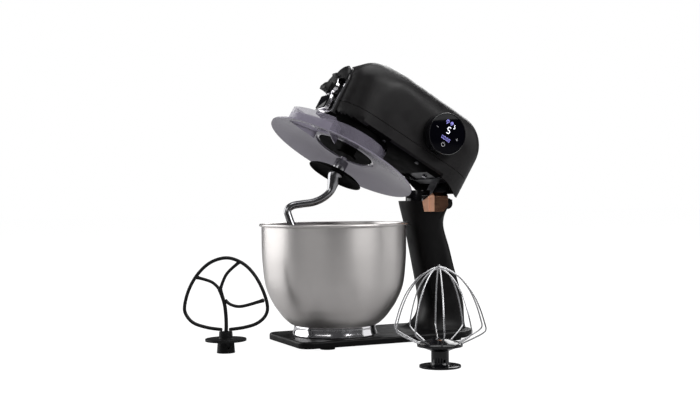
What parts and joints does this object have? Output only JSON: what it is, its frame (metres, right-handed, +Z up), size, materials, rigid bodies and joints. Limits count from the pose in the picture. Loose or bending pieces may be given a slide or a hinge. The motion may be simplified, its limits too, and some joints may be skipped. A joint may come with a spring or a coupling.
{
  "type": "stand mixer",
  "caption": "Tilt-head stand mixer: planetary dough hook, clear splash guard with pouring chute, steel bowl, display dial, loose flat beater and wire whisk.",
  "frame": {"origin": "centre of the bowl's seat on the base, at the seat's top face", "axes": "+Z up along the bowl's axis, -Y towards the nose, +X towards the display side"},
  "size_m": [0.4554, 0.4692, 0.4223],
  "materials": {
    "matte_black": "satin",
    "gloss_black": "polished",
    "tool_black": "satin",
    "display_black": "polished",
    "cast_black": "painted satin",
    "bowl_steel": "brushed",
    "chrome": "polished",
    "hook_steel": "polished",
    "plain_steel": "machined",
    "rose_gold": "metallised",
    "rubber": "matte",
    "winding": "lacquered",
    "circuit_board": "satin",
    "nylon": "matte",
    "bronze": "machined",
    "clear_plastic": "clear, slightly smoked"
  },
  "bodies": {
    "stand": {"stand_body": "matte_black", "base_cover": "matte_black", "base_screws": "plain_steel", "rubber_feet": "rubber", "bowl_seat": "matte_black", "hinge_post": "gloss_black", "hinge_pin": "plain_steel", "button_guide": "gloss_black", "cord_gland": "gloss_black"},
    "button": {"release_button": "rose_gold", "latch_bar": "plain_steel", "latch_spring": "plain_steel"},
    "head": {"upper_housing": "matte_black", "lower_housing": "matte_black", "hinge_bracket": "plain_steel", "hinge_bushes": "bronze", "bracket_screws": "plain_steel", "gear_housing": "cast_black", "gearbox_cover": "plain_steel", "gearbox_pillars": "plain_steel", "ring_gear": "plain_steel", "main_bearings": "plain_steel", "drip_ring": "chrome", "motor_stator": "plain_steel", "field_coils": "winding", "motor_frame": "plain_steel", "drive_belt": "rubber", "housing_screws": "plain_steel", "hub_panel": "gloss_black", "hub_bezel": "chrome", "hub_collar": "chrome", "badge_block": "chrome", "badge_glass": "display_black", "display_housing": "matte_black", "display_board": "circuit_board", "display_glass": "display_black"},
    "dial": {"dial_ring": "gloss_black"},
    "motor": {"rotor": "plain_steel", "motor_fan": "matte_black", "motor_pulley": "plain_steel"},
    "countershaft": {"counter_gear": "plain_steel", "belt_pulley": "matte_black"},
    "carrier": {"main_shaft": "plain_steel", "main_gear": "nylon", "planet_carrier": "gloss_black"},
    "tool": {"tool_shaft": "chrome", "planet_gear": "nylon", "drive_pin": "plain_steel", "hook_socket": "hook_steel", "hook_shield": "matte_black", "dough_hook": "hook_steel"},
    "outlet": {"front_drive": "plain_steel"},
    "cap": {"hub_cap": "gloss_black"},
    "guard": {"splash_guard": "clear_plastic"},
    "bowl": {"bowl_shell": "bowl_steel", "bowl_foot": "chrome"},
    "beater": {"flat_beater": "tool_black", "beater_hub": "tool_black"},
    "whisk": {"whisk_wires": "chrome", "whisk_hub": "gloss_black"}
  },
  "joints": [
    {"name": "head_tilt", "type": "hinge", "parent": "stand", "child": "head", "pos_m": [0, 0.1795, 0.1948], "axis": [1, 0, 0], "range_deg": [0, 30.2]},
    {"name": "release_button", "type": "slide", "parent": "stand", "child": "button", "axis": [-1, 0, 0], "range_m": [0, 0.004], "stiffness_N_per_m": 400, "springref_m": -0.004, "deforming": ["latch_spring"]},
    {"name": "control_dial", "type": "hinge", "parent": "head", "child": "dial", "pos_m": [0.07, 0.15308, 0.2995], "axis": [1, 0, 0], "continuous": true},
    {"name": "carrier_spin", "type": "hinge", "parent": "head", "child": "carrier", "pos_m": [0, 0.01994, 0.27749], "axis": [0, 0.503, 0.8643], "continuous": true},
    {"name": "tool_spin", "type": "hinge", "parent": "carrier", "child": "tool", "pos_m": [0.02216, 0.01656, 0.27945], "axis": [0, 0.503, 0.8643], "continuous": true},
    {"name": "countershaft_spin", "type": "hinge", "parent": "head", "child": "countershaft", "pos_m": [0, 0.08543, 0.28565], "axis": [0, 0.503, 0.8643], "continuous": true},
    {"name": "motor_spin", "type": "hinge", "parent": "head", "child": "motor", "pos_m": [0, 0.17442, 0.26857], "axis": [0, 0.503, 0.8643], "continuous": true},
    {"name": "outlet_spin", "type": "hinge", "parent": "head", "child": "outlet", "pos_m": [0, 0.02259, 0.36156], "axis": [0, -0.8643, 0.503], "continuous": true},
    {"name": "outlet_cap_flip", "type": "hinge", "parent": "head", "child": "cap", "pos_m": [0, 0.00503, 0.39203], "axis": [-1, 0, 0], "range_deg": [0, 100]},
    {"name": "guard_twist", "type": "hinge", "parent": "head", "child": "guard", "pos_m": [0, 0.01994, 0.27749], "axis": [0, 0.503, 0.8643], "range_deg": [0, 25]},
    {"name": "bowl_twist", "type": "hinge", "parent": "stand", "child": "bowl", "pos_m": [0, 0, 0], "axis": [0, 0, 1], "range_deg": [-28, 0]},
    {"name": "beater_lift", "type": "slide", "parent": "stand", "child": "beater", "axis": [0, 0, 1], "range_m": [0, 0.12]},
    {"name": "whisk_lift", "type": "slide", "parent": "stand", "child": "whisk", "axis": [0, 0, 1], "range_m": [0, 0.12]}
  ],
  "couplings": [
    {"joint": "tool_spin", "follows": "carrier_spin", "ratio": -3.1429},
    {"joint": "countershaft_spin", "follows": "carrier_spin", "ratio": -4},
    {"joint": "motor_spin", "follows": "carrier_spin", "ratio": -14},
    {"joint": "outlet_spin", "follows": "carrier_spin", "ratio": 1}
  ]
}
